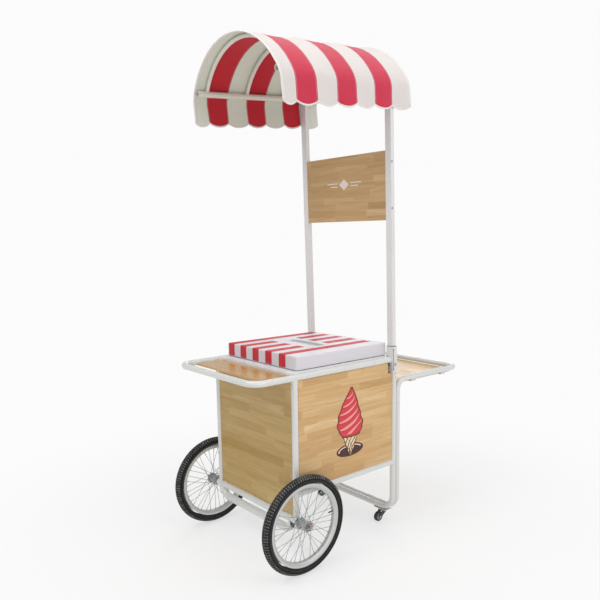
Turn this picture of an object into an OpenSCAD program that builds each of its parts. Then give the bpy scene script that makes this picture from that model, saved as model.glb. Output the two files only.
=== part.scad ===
// Push vending cart: tube frame with two spoked wheels and two swivel casters,
// board panels, lidded ice tub, a shelf at each end and a barrel roof on two posts.
// Millimetres. +X runs from the wheel end to the caster end, -Y is the picture side,
// +Z is up. Origin: on the floor, centre of the bounding box.

/* [Body] */
// Length between corner posts and leg hoop, mm
body_length = 704; // [640:1:760]
// Width between side tube centre lines, mm
body_width = 680; // [640:2:720]
// Height of the top rail centre line, mm
rail_z = 970; // [930:1:1010]
// Height of the side rail centre line, mm
side_z = 380; // [350:1:430]
// Frame tube diameter, mm
tube_d = 32; // [30:0.5:34]
// Frame tube wall, mm
tube_t = 2; // [1.5:0.1:3]
// Panel board thickness, mm
board_t = 12; // [9:0.5:15]
// Reach of the push loop past the corner posts, mm
loop_out = 239; // [200:1:280]
// Push loop corner radius, mm
loop_r = 72; // [60:1:100]
// Height of the caster end shelf rim, mm
shelf_z = 849; // [820:1:870]
// Reach of the caster end shelf past its legs, mm
shelf_out = 535; // [420:1:600]
// Height of the two bottom bars, mm
bar_z = 90; // [90:1:90]

/* [Wheels] */
// Wheel outside diameter, mm
wheel_d = 500; // [496:1:504]
// Tyre width, mm
tyre_w = 47; // [44:0.5:50]
// Distance between wheel centre planes, mm
track = 822; // [812:1:840]
// Axle position along the cart, from the corner posts, mm
axle_x = -8; // [-12:1:0]
// Spokes in each wheel
spoke_count = 36; // [36:1:36]

/* [Lid and tub] */
// Lid length, mm
lid_l = 636; // [610:1:640]
// Lid width, mm
lid_w = 612; // [590:1:616]
// Lid height, mm
lid_h = 67; // [50:1:90]
// Tub depth, mm
tub_depth = 430; // [300:5:480]

/* [Roof] */
// Post rake toward the wheel end, degrees
post_rake = 1.5; // [0:0.1:3]
// Roof pitch toward the wheel end, degrees
roof_pitch = 5.3; // [2:0.1:7]
// Height of the roof rails at the posts, mm
roof_z = 2417; // [2200:1:2500]
// Half width of the roof cover, mm
cover_half = 376; // [376:1:376]
// Rise of the arch, mm
arch_rise = 250; // [220:1:280]
// Length of the side skirts, mm
skirt = 130; // [90:1:160]
// Height of the roof rails above the foot of the arch, mm
rail_w = 30; // [28:1:34]
// Width of one stripe, mm
stripe = 127; // [110:1:135]

/* [Hidden] */
$fn = 96;
hw = body_width/2;
rt = tube_d/2;
g = 0.05;                               // gap at fitted and welded faces
hoop_x = body_length;                   // inner leg hoop
hoop2_x = hoop_x + tube_d + 0.1;        // outer leg hoop, carries the shelf
bar_r = 85;
shelf_r = 60;
shelf_cr = 50;
shelf_x = hoop2_x + shelf_out;
wr = wheel_d/2;
axle_z = wr;
axle_r = 17;                            // axle tube radius
brace_r = 21;                           // dropped brace radius
brace_z = 187;
x_lo = min(-loop_out - rt, axle_x - wr);
x_hi = shelf_x + rt;
x_mid = (x_lo + x_hi)/2;
post_x = 688;                           // post centre at rail height
post_y = hw + 1;
post_a = 25;                            // post section along X
post_b = 40;                            // post section along Y
sock_z0 = 905;
sock_z1 = 1045;
lid_x0 = 43;
lid_z0 = rail_z + rt + 8.5;
deck_z1 = rail_z + rt;                  // deck top, level with the rail tops
deck_z0 = deck_z1 - 20;
flange_z1 = deck_z1 + 4;
tub_x0 = 100; tub_x1 = 620; tub_hy = 250;
tub_z0 = flange_z1 - tub_depth;
rc = tyre_w/2;
tyre_c = wr - rc;
hub_half = 40;
arch_r = (cover_half*cover_half + arch_rise*arch_rise)/(2*arch_rise);
arch_c = arch_rise - arch_r;
rail_y = sqrt(pow(arch_r - 2.5 - rt, 2) - pow(rail_w - arch_c, 2));   // roof rail centre line
hoop_r = arch_r - 2 - 2 - 10;         // roof hoop centre line radius
first = 81;
last = 138;
u0 = -732;
u_edge = [u0, u0 + first, u0 + first + stripe, u0 + first + 2*stripe, u0 + first + 3*stripe,
          u0 + first + 4*stripe, u0 + first + 5*stripe, u0 + first + 5*stripe + last];
u1 = u_edge[7];
hoop_u = [for (i = [1, 3, 5, 7]) u_edge[i] - 13];
cast_x = (hoop_x + hoop2_x)/2;
cast_y = 250;
cast_r = 28;
trail = 38;

white = [0.93, 0.93, 0.92];
wood = [0.76, 0.60, 0.40];
red = [0.80, 0.16, 0.22];
steel = [0.75, 0.76, 0.77];
black = [0.06, 0.06, 0.06];
grey = [0.55, 0.56, 0.57];

// ---- helpers -------------------------------------------------------------
module place() translate([-x_mid, 0, 0]) children();
module far() mirror([0, 1, 0]) children();
module ring2(r, t) difference() { circle(r); circle(r - t); }
module along_x(l, r = rt, t = tube_t) rotate([0, 90, 0]) linear_extrude(l) ring2(r, t);
module along_y(l, r = rt, t = tube_t) rotate([-90, 0, 0]) linear_extrude(l) ring2(r, t);
module along_z(l, r = rt, t = tube_t) linear_extrude(l) ring2(r, t);
module elbow(R, a = 90, r = rt, t = tube_t)
  rotate_extrude(angle = a) translate([R, 0]) ring2(r, t);
module yz() rotate([90, 0, 90]) children();    // drawing plane to YZ
module xz() rotate([90, 0, 0]) children();     // drawing plane to XZ
module cyl_x(x0, x1, r) translate([x0, 0, 0]) rotate([0, 90, 0]) cylinder(h = x1 - x0, r = r);
module cyl_y(y0, y1, r) translate([0, y0, 0]) rotate([-90, 0, 0]) cylinder(h = y1 - y0, r = r);
module block(a, b) translate(a) cube([b[0]-a[0], b[1]-a[1], b[2]-a[2]]);
module rake() translate([post_x, 0, rail_z]) rotate([0, -post_rake, 0])
  translate([-post_x, 0, -rail_z]) children();
module roofspace() rake() translate([post_x, 0, roof_z])
  rotate([0, -(roof_pitch - post_rake), 0]) children();
module rrect(a, b, r) {                        // centred rounded rectangle
  square([a - 2*r, b], center = true);
  square([a, b - 2*r], center = true);
  for (i = [-1, 1], j = [-1, 1]) translate([i*(a/2 - r), j*(b/2 - r)]) circle(r);
}
module hexhead(af, h) cylinder(h = h, d = af/cos(30), $fn = 6);

// ---- frame tubes ---------------------------------------------------------
module top_rail() color(white) place() difference() {
  translate([0, 0, rail_z]) {
    for (s = [0, 1]) mirror([0, s, 0]) {
      translate([-(loop_out - loop_r), -hw, 0]) along_x(post_x - 10 + loop_out - loop_r);
      translate([-(loop_out - loop_r), -(hw - loop_r), 0]) rotate([0, 0, 180]) elbow(loop_r);
    }
    translate([-loop_out, -(hw - loop_r), 0]) along_y(2*(hw - loop_r));
  }
  rake() for (s = [-1, 1]) translate([post_x, s*post_y, rail_z])
    cube([33 + 2*g, 60, 80], center = true);
  rake() for (s = [-1, 1]) translate([post_x + 20, s*post_y, rail_z])
    cube([20, 60, 80], center = true);
}
module corner_post() color(white) place() difference() {
  translate([0, -hw, axle_z - 12]) along_z(rail_z - axle_z + 12);
  translate([0, -hw, rail_z]) cyl_x(-60, 60, rt + g);
  translate([axle_x, 0, axle_z]) cyl_y(-hw - 40, -hw + 40, axle_r + g);
  panel_screw_axes(2.6);
}
module corner_post_near() corner_post();
module corner_post_far() far() corner_post();
module side_rail() color(white) place() difference() {
  translate([0, -hw, side_z]) along_x(hoop_x);
  for (x = [0, hoop_x]) translate([x, -hw, side_z - 60]) cylinder(h = 120, r = rt + g);
  translate([hoop_x, 0, side_z]) cyl_y(-hw, -hw + 60, rt + g);      // coped to the end rail
}
module side_rail_near() side_rail();
module side_rail_far() far() side_rail();
module axle_tube() color(white) place()
  translate([axle_x, -(track/2 - 50), axle_z]) along_y(track - 100, axle_r, 2.5);

// dropped brace: level in the middle, curving up to the axle tube at both ends
brace_R = 72;
brace_y = 250;                                  // start of the bend
module axle_brace() color(white) place() difference() {
  translate([axle_x, 0, brace_z]) {
    translate([0, -brace_y, 0]) along_y(2*brace_y, brace_r, 2.5);
    for (s = [0, 1]) mirror([0, s, 0]) translate([0, brace_y, brace_R])
      yz() rotate([0, 0, -90]) elbow(brace_R, 90, brace_r, 2.5);
  }
  translate([axle_x, 0, axle_z]) cyl_y(-hw - 60, hw + 60, axle_r + g);
  block([axle_x - 60, -hw - 60, axle_z], [axle_x + 60, hw + 60, axle_z + 60]);
  for (s = [-1, 1]) translate([axle_x, s*(hw - 18 + 50), axle_z - 30])
    cube([100, 100, 120], center = true);
}
module leg_hoop() color(white) place() translate([hoop_x, 0, 0]) {
  for (s = [0, 1]) mirror([0, s, 0]) {
    translate([0, -hw, bar_z + bar_r]) along_z(sock_z0 - 4.05 - bar_z - bar_r);
    translate([0, -(hw - bar_r), bar_z + bar_r]) yz() rotate([0, 0, 180]) elbow(bar_r);
  }
  translate([0, -(hw - bar_r), bar_z]) along_y(2*(hw - bar_r));
}
module shelf_hoop() color(white) place() difference() {
  union() {
    for (s = [0, 1]) mirror([0, s, 0]) {
      translate([hoop2_x, -hw, bar_z + bar_r]) along_z(shelf_z - shelf_r - bar_z - bar_r);
      translate([hoop2_x, -(hw - bar_r), bar_z + bar_r]) yz() rotate([0, 0, 180]) elbow(bar_r);
      translate([hoop2_x + shelf_r, -hw, shelf_z - shelf_r]) xz() rotate([0, 0, 90]) elbow(shelf_r);
      translate([hoop2_x + shelf_r, -hw, shelf_z]) along_x(shelf_out - shelf_r - shelf_cr);
      translate([shelf_x - shelf_cr, -(hw - shelf_cr), shelf_z]) rotate([0, 0, -90]) elbow(shelf_cr);
    }
    translate([hoop2_x, -(hw - bar_r), bar_z]) along_y(2*(hw - bar_r));
    translate([shelf_x, -(hw - shelf_cr), shelf_z]) along_y(2*(hw - shelf_cr));
  }
  translate([hoop2_x, 0, bar_z - rt - 5]) cylinder(h = 12, r = 3);   // drain hole
}
module end_rail_caster() color(white) place() difference() {
  translate([hoop_x, -hw, side_z]) along_y(2*hw);
  for (s = [-1, 1]) translate([hoop_x, s*hw, side_z - 60]) cylinder(h = 120, r = rt + g);
}

// ---- panels --------------------------------------------------------------
module panel_screw_axes(r) for (z = [930, 430]) translate([0, -hw, z]) cyl_x(-30, 41, r);
module side_panel() color(wood) place() difference() {
  block([rt + 1.5, -hw - board_t/2, side_z + rt + 0.5],
        [hoop_x - rt - 1.5, -hw + board_t/2, rail_z - rt - 0.5]);
  translate([hoop_x, -hw, sock_z0 - 8 + 100]) cube([100, 60, 200], center = true);
  panel_screw_axes(2.6);
}
module side_panel_near() side_panel();
module side_panel_far() far() side_panel();
module wheel_end_panel() color(wood) place() difference() {
  block([-board_t/2, -(hw - rt - 1), axle_z + axle_r - 4], [board_t/2, hw - rt - 1, deck_z0]);
  translate([axle_x, 0, axle_z]) cyl_y(-hw, hw, axle_r + g);
}
module caster_end_panel() color(wood) place() difference() {
  block([hoop_x - board_t/2, -(hw - rt - 1), side_z + rt + 0.1],
        [hoop_x + board_t/2, hw - rt - 1, deck_z0 - 0.1]);
  for (s = [-1, 1]) translate([hoop_x, s*(hw - 27 + 40), 1000])
    cube([100, 80, 208], center = true);          // clear of the post sockets
}
module floor_panel() color(wood) place() difference() {
  block([board_t/2 + 1, -(hw - board_t/2 - 1), side_z + rt - 1.8],
        [hoop_x - board_t/2 - 1, hw - board_t/2 - 1, side_z + rt + 8.2]);
  for (s = [-1, 1]) translate([0, s*hw, side_z]) cyl_x(-10, hoop_x + 10, rt + g);
  translate([hoop_x, 0, side_z]) cyl_y(-hw, hw, rt + g);
  for (s = [-1, 1], x = [0, hoop_x]) translate([x, s*hw, side_z - 30]) cylinder(h = 80, r = rt + 1);
}
module counter_deck() color(white) place() difference() {
  block([-8, -(hw - rt + 1), deck_z0], [hoop_x + 8, hw - rt + 1, deck_z1]);
  block([tub_x0 - 5, -tub_hy - 5, deck_z0 - 1], [tub_x1 + 5, tub_hy + 5, deck_z1 + 1]);
  for (s = [-1, 1]) {
    translate([0, s*hw, rail_z]) cyl_x(-40, hoop_x + 40, rt + g);
    translate([0, s*(hw + 14), 0])
      block([post_x - 20, -40, deck_z0 - 1], [hoop_x + 40, 40, deck_z1 + 1]);
    translate([0, s*hw, deck_z0 - 30]) cylinder(h = 30 + rail_z - deck_z0, r = rt + g);
  }
}
module tub() color(white) place() difference() {
  union() {
    block([lid_x0 - 13, -312, deck_z1 + g], [690, 312, flange_z1]);
    block([tub_x0 - 3, -tub_hy - 3, tub_z0 - 3], [tub_x1 + 3, tub_hy + 3, flange_z1]);
  }
  block([tub_x0, -tub_hy, tub_z0], [tub_x1, tub_hy, flange_z1 + 5]);
  translate([0, 0, 0]) for (s = [-1, 1])
    translate([696, s*322, flange_z1 - 10]) cube([60, 30, 40], center = true);
}
module tub_insulation() color([0.88, 0.86, 0.78]) place() difference() {
  block([tub_x0 - 38, -tub_hy - 38, tub_z0 - 38], [tub_x1 + 38, tub_hy + 38, deck_z0 - 0.5]);
  block([tub_x0 - 3.1, -tub_hy - 3.1, tub_z0 - 3.1], [tub_x1 + 3.1, tub_hy + 3.1, deck_z1]);
}
module lid_gasket() color(grey) place() difference() {
  block([lid_x0 + 5, -lid_w/2 + 5, flange_z1], [lid_x0 + lid_l - 5, lid_w/2 - 5, lid_z0 - 0.1]);
  block([lid_x0 + 20, -lid_w/2 + 20, flange_z1 - 1],
        [lid_x0 + lid_l - 20, lid_w/2 - 20, lid_z0 + 1]);
}

// ---- shelves -------------------------------------------------------------
module shelf_board_wheel_end() color(wood) place() block([-165, -288, 965], [-9, 288, 975]);
module shelf_board_caster_end() color(wood) place()
  translate([0, 0, shelf_z - 26]) linear_extrude(12) {
    translate([hoop2_x + rt + 6, -(hw - rt - 3)])
      square([shelf_x - shelf_cr - hoop2_x - rt - 6, 2*(hw - rt - 3)]);
    translate([shelf_x - shelf_cr - 1, -(hw - shelf_cr)])
      square([shelf_cr - rt - 3 + 1, 2*(hw - shelf_cr)]);
    for (s = [-1, 1]) translate([shelf_x - shelf_cr, s*(hw - shelf_cr)])
      circle(shelf_cr - rt - 3);
  }
module shelf_brackets() color(white) place() {
  for (s = [0, 1]) mirror([0, s, 0]) {
    for (x = [-140, -45]) difference() {
      block([x, -hw + 4, 961], [x + 30, -270, 965]);
      translate([0, -hw, rail_z]) cyl_x(-260, 100, rt + g);
    }
    for (x = [860, 1130]) difference() {
      translate([x, 0, 0]) {
        block([0, -hw + 4, shelf_z - 30], [40, -hw + 46, shelf_z - 26]);
        block([0, -hw + 4, shelf_z - 30], [40, -hw + 8, shelf_z]);
      }
      translate([0, -hw, shelf_z]) cyl_x(800, 1220, rt + g);
      block([800, -hw, shelf_z - 14 + 5], [1220, -hw + 60, shelf_z + 30]);
    }
  }
}

// ---- post sockets --------------------------------------------------------
module post_socket() color(white) place() difference() {
  union() {
    rake() translate([post_x, -post_y, (sock_z0 - 3 + sock_z1)/2])
      cube([33, 48, sock_z1 - sock_z0 + 3], center = true);
    block([post_x - 19, -post_y - 25, sock_z0 - 4], [hoop_x + 16, -post_y + 25, sock_z0]);
  }
  rake() translate([post_x, -post_y, sock_z0 + 0.5 + 100]) cube([28.2, 43.2, 200], center = true);
  block([post_x - 60, -post_y - 60, sock_z0 - 30], [hoop_x + 60, -post_y + 60, sock_z0 - 4]);
  // corner slot with round ends
  rake() translate([post_x - 16.5 + 6, -post_y - 24, 0]) xz() translate([0, 0, -6]) linear_extrude(9) {
    translate([-2.5, 918]) square([5, 110]);
    for (z = [918, 1028]) translate([0, z]) circle(5);
  }
  clamp_axes(4.2);
}
module clamp_axes(r) rake() {
  translate([post_x, -post_y, 944]) cyl_x(-40, 0, r);
  translate([post_x + 2, -post_y - 40, 946]) cyl_y(0, 40, r);
}
module post_socket_near() post_socket();
module post_socket_far() far() post_socket();
module socket_liners() color(black) place() for (s = [0, 1]) mirror([0, s, 0]) difference() {
  rake() translate([post_x, -post_y, (sock_z0 + 1 + sock_z1 + 3)/2])
    cube([28.1, 43.1, sock_z1 - sock_z0 + 2], center = true);
  rake() translate([post_x, -post_y, 1000]) cube([post_a + 0.1, post_b + 0.1, 400], center = true);
  clamp_axes(4.2);
}
module clamp_bolts() color(steel) place() for (s = [0, 1]) mirror([0, s, 0]) rake() {
  translate([post_x - 16.5 - 0.05, -post_y, 944]) rotate([0, -90, 0]) {
    cylinder(h = 1.6, r = 8);
    translate([0, 0, 1.6]) hexhead(13, 5.3);
    translate([0, 0, -3.85]) cylinder(h = 3.85, r = 4);
  }
  translate([post_x + 2, -post_y - 24 - 0.05, 946]) rotate([90, 0, 0]) {
    cylinder(h = 1.6, r = 8);
    translate([0, 0, 1.6]) hexhead(13, 5.3);
    translate([0, 0, -3.85]) cylinder(h = 3.85, r = 4);
  }
}
module frame_screws() color(steel) place() for (s = [0, 1]) mirror([0, s, 0])
  for (z = [930, 430]) translate([0, -hw, z]) {
    cyl_x(-19, -rt - 0.05, 5.5);
    cyl_x(-rt - 0.05, 40, 2.5);
  }

// ---- lid -----------------------------------------------------------------
module lid_body(e, z1) {                        // e grows the outline, top edges rounded
  r = 6 + e;
  cx = lid_x0 + lid_l/2;
  h = z1 - lid_z0 + e;
  intersection() {
    translate([cx, 0, lid_z0]) linear_extrude(h) rrect(lid_l + 2*e, lid_w + 2*e, 10 + e);
    translate([cx, lid_w, lid_z0]) xz() linear_extrude(2*lid_w) {
      translate([-lid_l/2 - e, 0]) square([lid_l + 2*e, h - r]);
      translate([-lid_l/2 - e + r, 0]) square([lid_l + 2*e - 2*r, h]);
      for (i = [-1, 1]) translate([i*(lid_l/2 + e - r), h - r]) circle(r);
    }
    translate([cx - lid_l, 0, lid_z0]) yz() linear_extrude(2*lid_l) {
      translate([-lid_w/2 - e, 0]) square([lid_w + 2*e, h - r]);
      translate([-lid_w/2 - e + r, 0]) square([lid_w + 2*e - 2*r, h]);
      for (i = [-1, 1]) translate([i*(lid_w/2 + e - r), h - r]) circle(r);
    }
  }
}
grip_x = 360;
module lid_shell() color(white) place() difference() {
  lid_body(0, lid_z0 + lid_h);
  block([lid_x0 + 4, -lid_w/2 + 4, lid_z0 - 1], [lid_x0 + lid_l - 4, lid_w/2 - 4, lid_z0 + lid_h - 4]);
  translate([grip_x, 0, lid_z0 + lid_h - 10]) linear_extrude(20) rrect(55, 256, 12);
}
stripe_y = [265, 152, 39, -75, -190];
module lid_stripes() color(red) place() difference() {
  intersection() {
    lid_body(0.6, lid_z0 + lid_h);
    union() for (i = [0:4]) translate([0, stripe_y[i], 0]) {
      block([lid_x0 - 5, -27.5, lid_z0 + 2], [lid_x0 + 3, 27.5, lid_z0 + lid_h + 5]);
      if (i == 0 || i == 4)
        block([lid_x0 - 5, -27.5, lid_z0 + lid_h - 12], [lid_x0 + 603, 27.5, lid_z0 + lid_h + 5]);
      else {
        block([lid_x0 - 5, -27.5, lid_z0 + lid_h - 12], [262, 27.5, lid_z0 + lid_h + 5]);
        block([430, -27.5, lid_z0 + lid_h - 12], [lid_x0 + 603, 27.5, lid_z0 + lid_h + 5]);
      }
    }
  }
  lid_body(0, lid_z0 + lid_h);
}
module lid_grip() color(grey) place() translate([grip_x, 0, lid_z0 + lid_h]) difference() {
  union() {
    translate([0, 0, 0.05]) linear_extrude(1.5) rrect(63, 264, 15);
    translate([0, 0, -24]) linear_extrude(24.5) rrect(53, 254, 11);
  }
  translate([0, 0, -22]) linear_extrude(30) rrect(49, 250, 9);
}

// ---- roof ----------------------------------------------------------------
module sign_axes(r) for (z = [1790, 2030]) translate([post_x - 6.5, 0, z]) cyl_y(-post_y - 30, -300, r);
module roof_post() color(white) place() difference() {
  rake() difference() {
    translate([post_x - post_a/2, 0, 0]) yz() linear_extrude(post_a)
      translate([-post_y - post_b/2, sock_z0 + 1.5])
        square([post_b, roof_z + rail_w - 12 - sock_z0 - 1.5]);
    translate([post_x - post_a/2 + 2, 0, 0]) yz() linear_extrude(post_a - 4)
      translate([-post_y - post_b/2 + 2, sock_z0 - 5]) square([post_b - 4, 2000]);
    sign_axes(2.6);
  }
  roofspace() translate([0, -rail_y, rail_w]) cyl_x(-60, 60, rt + g);
}
module post_near() roof_post();
module post_far() far() roof_post();
module roof_rail() color(white) place() roofspace()
  translate([u0 + 8, -rail_y, rail_w]) along_x(u1 - u0 - 16, rt, 1.5);
module roof_rail_near() roof_rail();
module roof_rail_far() far() roof_rail();
hoop_a = 29.5;                                  // hoop ends, inside the rails
module roof_hoops() color(white) place() roofspace() for (u = hoop_u) difference() {
  translate([u, 0, arch_c]) yz() rotate([0, 0, hoop_a]) elbow(hoop_r, 180 - 2*hoop_a, 10, 1.5);
  for (s = [-1, 1]) translate([0, s*rail_y, rail_w]) cyl_x(u - 20, u + 20, rt + g);
}
function arc_pts(r, h, n = 40) = let(m = asin(h/r))
  [for (i = [0:n]) let(t = -m + 2*m*i/n) [r*sin(t), arch_c + r*cos(t)]];
function back(v) = [for (i = [len(v) - 1:-1:0]) v[i]];
module roof_cover() color(red) place() roofspace() difference() {
  translate([u0, 0, 0]) yz() linear_extrude(u1 - u0) polygon(concat(
    [[-cover_half, -skirt]], arc_pts(arch_r, cover_half), [[cover_half, -skirt]],
    [[cover_half - 2, -skirt]], back(arc_pts(arch_r - 2, cover_half - 2)),
    [[-cover_half + 2, -skirt]]));
  translate([0, cover_half + 50, 0]) xz() linear_extrude(2*cover_half + 100) difference() {
    translate([u0 - 5, -skirt - 5]) square([u1 - u0 + 10, 5 + 17.9]);
    for (i = [0:6]) scallop(u_edge[i], u_edge[i + 1]);
  }
}
module scallop(a, b) {                          // round whose foot is one scallop
  w = (b - a)/2;
  r = (w*w + 18*18)/36;
  translate([(a + b)/2, -skirt + r]) circle(r);
}
module sign_board() color(wood) place() rake() difference() {
  block([post_x - post_a/2, -post_y + post_b/2 + 0.5, 1728],
        [post_x, post_y - post_b/2 - 0.5, 2089]);
  for (s = [0, 1]) mirror([0, s, 0]) sign_axes(2.6);
}
module sign_screws() color(steel) place() rake() for (s = [0, 1]) mirror([0, s, 0])
  for (z = [1790, 2030]) translate([post_x - 6.5, 0, z]) {
    cyl_y(-post_y - post_b/2 - 3, -post_y - post_b/2 - 0.05, 5);
    cyl_y(-post_y - post_b/2 - 0.05, -301, 2.5);
  }

// ---- wheels: axis is local Z, outward is +Z ------------------------------
module wheel_at() place() translate([axle_x, -track/2, axle_z]) rotate([90, 0, 0]) children();
module tyre() color(black) wheel_at() rotate_extrude($fn = 180) {
  difference() {
    translate([tyre_c, 0]) circle(rc);
    translate([tyre_c, 0]) circle(rc - 3);
    translate([tyre_c - 40, -40]) square([40 - 18, 80]);
  }
  for (s = [-1, 1]) translate([tyre_c - 19, s*12.6]) circle(3);
}
module tyre_near() tyre();
module tyre_far() far() tyre();
module rim() color(steel) wheel_at() difference() {
  rotate_extrude($fn = 180) difference() {
    polygon([[208.5, 17.8], [208.5, 16.2], [204.2, 16.2], [204.2, -16.2], [208.5, -16.2],
             [208.5, -17.8], [197, -17.8], [186, -9], [186, 9], [197, 17.8]]);
    polygon([[202, 15.8], [202, -15.8], [197.6, -16], [188.2, -7.8], [188.2, 7.8], [197.6, 16]]);
  }
  rotate([0, 0, 5]) translate([175, 0, 0]) rotate([0, 90, 0]) cylinder(h = 50, r = 4.25);
}
module rim_near() rim();
module rim_far() far() rim();
flange_z = 27;
hole_r = 22.5;
module rod(a, b, r) {
  d = b - a; l = norm(d);
  translate(a) rotate([0, acos(d[2]/l), atan2(d[1], d[0])]) cylinder(h = l, r = r, $fn = 16);
}
module spoke(side, k) {                         // side +1 outward flange, -1 inward flange
  ha = 20*k + (side > 0 ? 0 : 10);
  ra = ha + (k % 2 == 0 ? 60 : -60);
  out = k % 2 == 0;
  za = out ? flange_z + 1.5 + 3.35 : flange_z - 1.5 - 1.5;
  zb = out ? flange_z - 1.5 - 1.2 : flange_z + 3.5;
  a = [hole_r*cos(ha), hole_r*sin(ha), side*za];
  b = [185.5*cos(ra), 185.5*sin(ra), side*2];
  n = a + (b - a)*0.915;
  rod(a, b, 1.3);
  rod(n, b, 2.0);
  rod(a, [a[0], a[1], side*zb], 1.4);
  rod([a[0], a[1], side*(zb + (out ? -1 : 1))], [a[0], a[1], side*zb], 2.3);
}
module spokes() color(steel) wheel_at()
  for (side = [-1, 1], k = [0:spoke_count/2 - 1]) spoke(side, k);
module spokes_near() spokes();
module spokes_far() far() spokes();
module hub() color(grey) wheel_at() difference() {
  rotate_extrude() polygon([[7, -31.8], [7, 31.8], [13.03, 31.8], [13.03, hub_half], [17, hub_half],
    [17, 31], [29, 28.5], [29, 25.5], [18, 25.5], [15, 20], [15, -20], [18, -25.5], [29, -25.5],
    [29, -28.5], [17, -31], [17, -hub_half], [13.03, -hub_half], [13.03, -31.8]]);
  for (side = [-1, 1], k = [0:17]) rotate([0, 0, 20*k + (side > 0 ? 0 : 10)])
    translate([hole_r, 0, side*flange_z - 5]) cylinder(h = 10, r = 1.6, $fn = 24);
}
module hub_near() hub();
module hub_far() far() hub();
module bearings() color(steel) wheel_at() for (s = [-1, 1])
  translate([0, 0, s*35.9 - 4]) rotate_extrude()
    polygon([[5.03, 0], [5.03, 8], [7.5, 8], [7.5, 7.3], [10.5, 7.3], [10.5, 8], [13, 8], [13, 0],
             [10.5, 0], [10.5, 0.7], [7.5, 0.7], [7.5, 0]]);
module bearings_near() bearings();
module bearings_far() far() bearings();
module axle() color(steel) wheel_at() rotate_extrude()
  polygon([[0, -110], [14.4, -110], [14.4, -49.9], [17, -49.9], [17, -48], [8, -46], [8, -40.1], [5, -40.1],
           [5, 60], [0, 60]]);
module axle_near() axle();
module axle_far() far() axle();
module axle_nuts() color(steel) for (s = [0, 1]) mirror([0, s, 0]) wheel_at() difference() {
  union() {
    translate([0, 0, 40.15]) cylinder(h = 1.8, r = 9);
    translate([0, 0, 41.9]) hexhead(17, 9);
    translate([0, 0, 50]) cylinder(h = 14, r = 7.4);
  }
  translate([0, 0, 30]) cylinder(h = 31, r = 5 + g);
}

// ---- casters: swivel axis is local Z at the floor, fork trails toward -X -----
module caster_at() place() translate([cast_x, -cast_y, 0]) children();
module caster_plate() color(steel) caster_at() {
  translate([0, 0, bar_z - rt - 0.05 - 1.5]) cube([62, 92, 3], center = true);
  translate([0, 0, 68.7]) cylinder(h = 3, r = 14);
  translate([0, 0, 57.8]) cylinder(h = 14, r = 5);
  translate([0, 0, 57.8]) cylinder(h = 2, r = 8);
}
module caster_plate_near() caster_plate();
module caster_plate_far() far() caster_plate();
module caster_fork() color(black) caster_at() difference() {
  union() {
    translate([-2, 0, 61.6]) cube([32, 32, 3], center = true);
    cylinder_race();
    for (s = [0, 1]) mirror([0, s, 0]) translate([0, -13.4, 0]) xz() linear_extrude(2.6) {
      polygon([[14, 63.1], [14, 50], [-trail + 8, 21], [-trail - 8, 33], [-18, 63.1]]);
      translate([-trail, cast_r]) circle(9);
    }
  }
  translate([0, 0, 50]) cylinder(h = 30, r = 5.05);
  translate([-trail, 0, cast_r]) cyl_y(-30, 30, 3 + g);
}
module cylinder_race() translate([0, 0, 63]) cylinder(h = 5.5, r = 12);
module caster_fork_near() caster_fork();
module caster_fork_far() far() caster_fork();
module caster_wheel() color(black) caster_at() translate([-trail, 0, cast_r]) rotate([90, 0, 0])
  rotate_extrude() polygon([[3.05, -12], [7, -12], [8, -9], [18, -9], [20, -11], [25, -11],
    [cast_r, -8], [cast_r, 8], [25, 11], [20, 11], [18, 9], [8, 9], [7, 12], [3.05, 12]]);
module caster_wheel_near() caster_wheel();
module caster_wheel_far() far() caster_wheel();
module caster_pin() color(steel) caster_at() translate([-trail, 0, cast_r]) rotate([90, 0, 0]) {
  translate([0, 0, -17]) cylinder(h = 34, r = 3);
  translate([0, 0, 16.1]) cylinder(h = 3, r = 5.5);
  translate([0, 0, -20.1]) hexhead(10, 4);
}
module caster_pin_near() caster_pin();
module caster_pin_far() far() caster_pin();

top_rail();
corner_post_near();
corner_post_far();
side_rail_near();
side_rail_far();
axle_tube();
axle_brace();
leg_hoop();
shelf_hoop();
end_rail_caster();
side_panel_near();
side_panel_far();
wheel_end_panel();
caster_end_panel();
floor_panel();
counter_deck();
tub();
tub_insulation();
lid_gasket();
shelf_board_wheel_end();
shelf_board_caster_end();
shelf_brackets();
post_socket_near();
post_socket_far();
socket_liners();
clamp_bolts();
frame_screws();
axle_near();
axle_far();
axle_nuts();
caster_plate_near();
caster_plate_far();
lid_shell();
lid_stripes();
lid_grip();
post_near();
post_far();
roof_rail_near();
roof_rail_far();
roof_hoops();
roof_cover();
sign_board();
sign_screws();
tyre_near();
rim_near();
spokes_near();
hub_near();
bearings_near();
tyre_far();
rim_far();
spokes_far();
hub_far();
bearings_far();
caster_fork_near();
caster_wheel_near();
caster_pin_near();
caster_fork_far();
caster_wheel_far();
caster_pin_far();
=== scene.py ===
import bpy, bmesh, math
import numpy as np
from mathutils import Vector, Matrix, noise


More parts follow.
